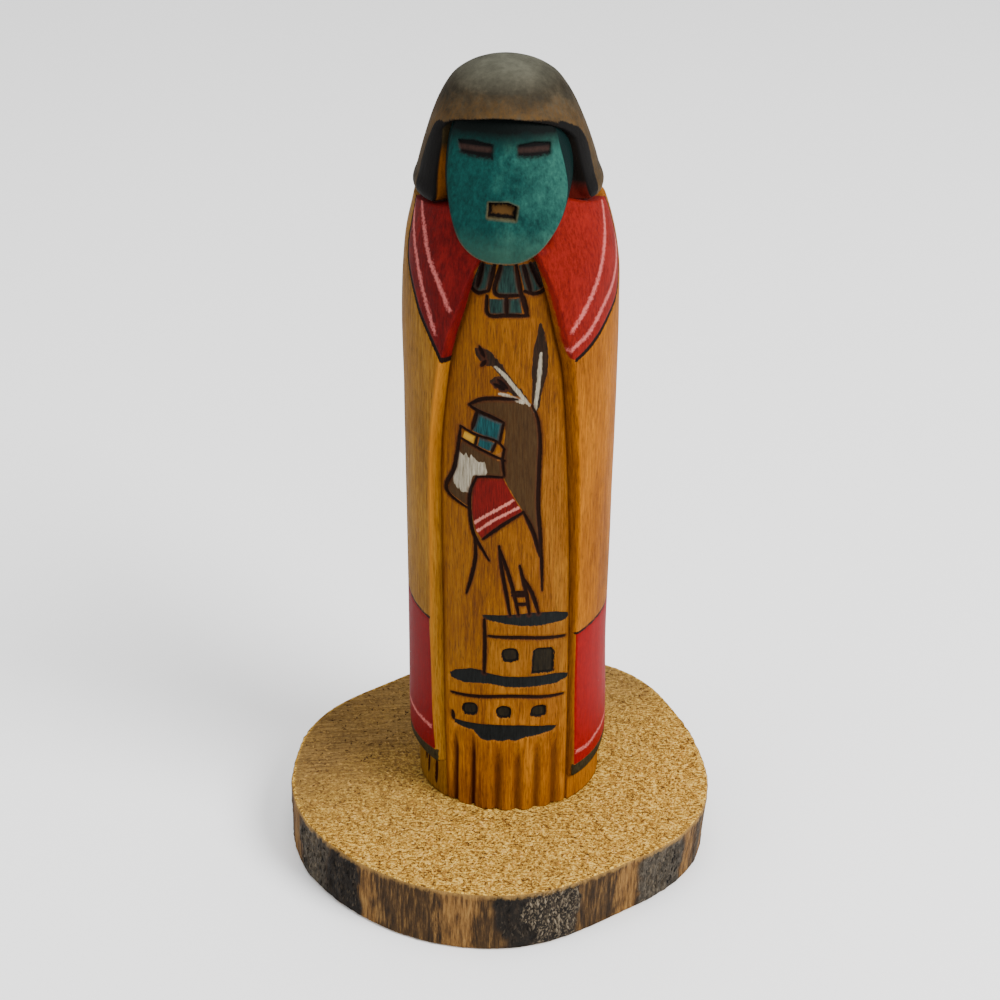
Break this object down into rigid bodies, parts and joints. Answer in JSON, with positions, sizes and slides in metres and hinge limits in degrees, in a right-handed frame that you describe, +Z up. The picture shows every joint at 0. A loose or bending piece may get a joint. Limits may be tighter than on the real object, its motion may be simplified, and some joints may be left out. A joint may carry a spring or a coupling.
{
  "type": "kachina doll",
  "caption": "Carved, burnt and painted wooden doll in a cape, with a turquoise face under a hood of hair, glued upright on a slice of branch with bark left on its rim.",
  "frame": {"origin": "middle of the slice's underside", "axes": "+Z up along the doll, the doll's face towards -Y, its left hand side towards +X"},
  "size_m": [0.0892, 0.092, 0.1687],
  "materials": {
    "painted_root": "stained and painted cottonwood root, satin, with burnt lines",
    "raw_branch": "raw sawn end grain with rough bark on the rim"
  },
  "bodies": {
    "root": {"carved_doll": "painted_root", "branch_slice": "raw_branch"}
  },
  "joints": []
}
